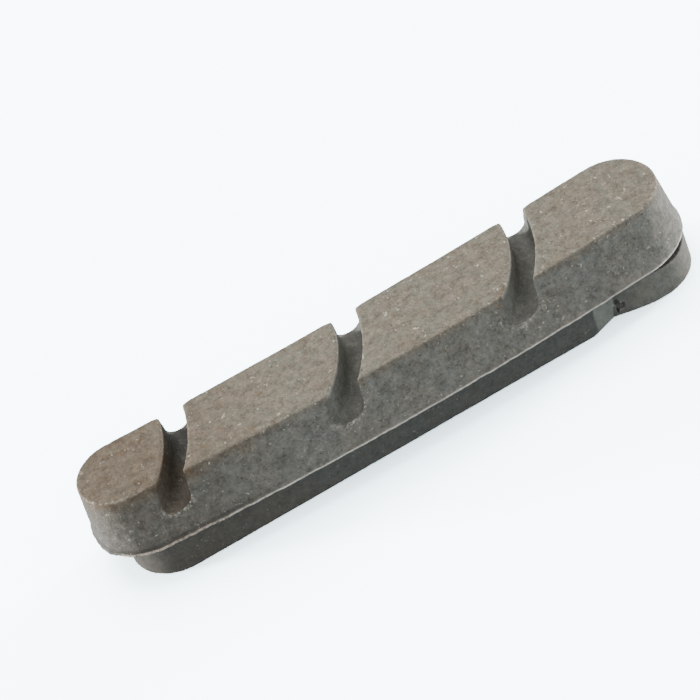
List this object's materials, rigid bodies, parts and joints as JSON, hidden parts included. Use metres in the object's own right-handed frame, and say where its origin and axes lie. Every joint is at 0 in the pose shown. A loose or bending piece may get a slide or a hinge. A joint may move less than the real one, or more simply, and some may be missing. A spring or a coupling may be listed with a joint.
{
  "type": "bicycle rim brake pad insert",
  "caption": "Curved replacement rim brake pad: a tapered friction block with arced cross grooves, moulded with a narrower slide-in base with catch notches.",
  "frame": {"origin": "on the flat underside of the base, on the base's centreline and half way along the block", "axes": "+X along the pad towards its wide end, which is the way the base slides; +Z out of the friction face; the convex side faces -Y and the hollow side faces +Y"},
  "size_m": [0.0528, 0.0119, 0.0083],
  "materials": {
    "friction_compound": "matte brown-grey moulded compound with fine pale flecks"
  },
  "bodies": {
    "root": {"brake_pad": "friction_compound"}
  },
  "joints": []
}
